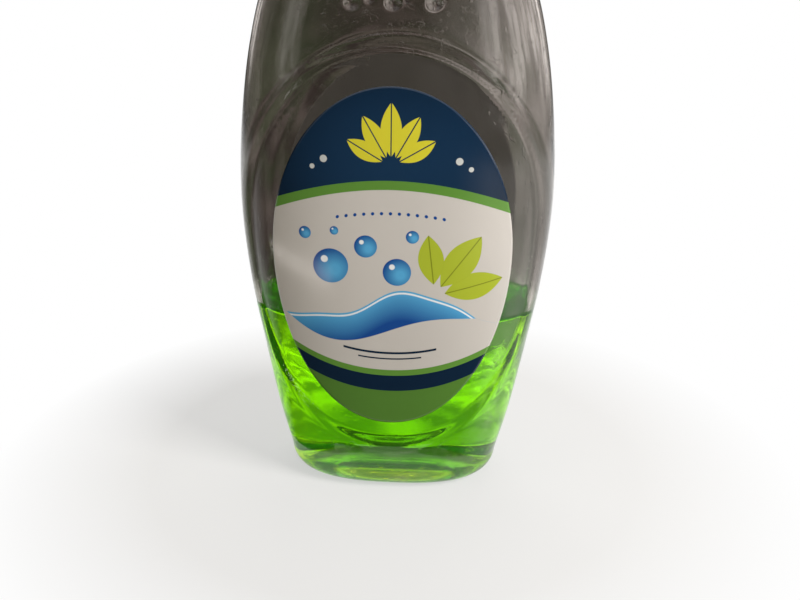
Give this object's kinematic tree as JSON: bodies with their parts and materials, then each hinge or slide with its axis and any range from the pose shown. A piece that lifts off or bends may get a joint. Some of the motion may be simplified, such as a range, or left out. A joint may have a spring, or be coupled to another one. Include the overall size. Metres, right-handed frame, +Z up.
{
  "type": "hand soap bottle",
  "caption": "Clear oval squeeze bottle part full of green hand soap, with an egg-shaped label sunk into each face, grip bumps on the shoulder and a ribbed screw cap.",
  "frame": {"origin": "middle of the standing face", "axes": "+Z up through the neck, +X across the width, the front label faces -Y"},
  "size_m": [0.1212, 0.0682, 0.254],
  "materials": {
    "clear_plastic": "clear blown plastic",
    "green_soap": "transparent green liquid",
    "front_film": "printed gloss film",
    "back_film": "printed gloss film",
    "white_plastic": "moulded white plastic",
    "foam_wad": "pressed foam sheet"
  },
  "bodies": {
    "bottle_body": {"bottle": "clear_plastic", "soap": "green_soap", "front_label": "front_film", "back_label": "back_film"},
    "wad_body": {"cap_liner": "foam_wad"},
    "cap_body": {"cap": "white_plastic"}
  },
  "joints": [
    {"name": "cap_lift", "type": "slide", "parent": "bottle_body", "child": "wad_body", "axis": [0, 0, 1], "range_m": [0, 0.01164]},
    {"name": "cap_turn", "type": "hinge", "parent": "wad_body", "child": "cap_body", "pos_m": [0, 0, 0.2514], "axis": [0, 0, 1], "range_deg": [0, 990]}
  ],
  "couplings": [
    {"joint": "cap_turn", "follows": "cap_lift", "rad_per_m": 1484.3}
  ]
}
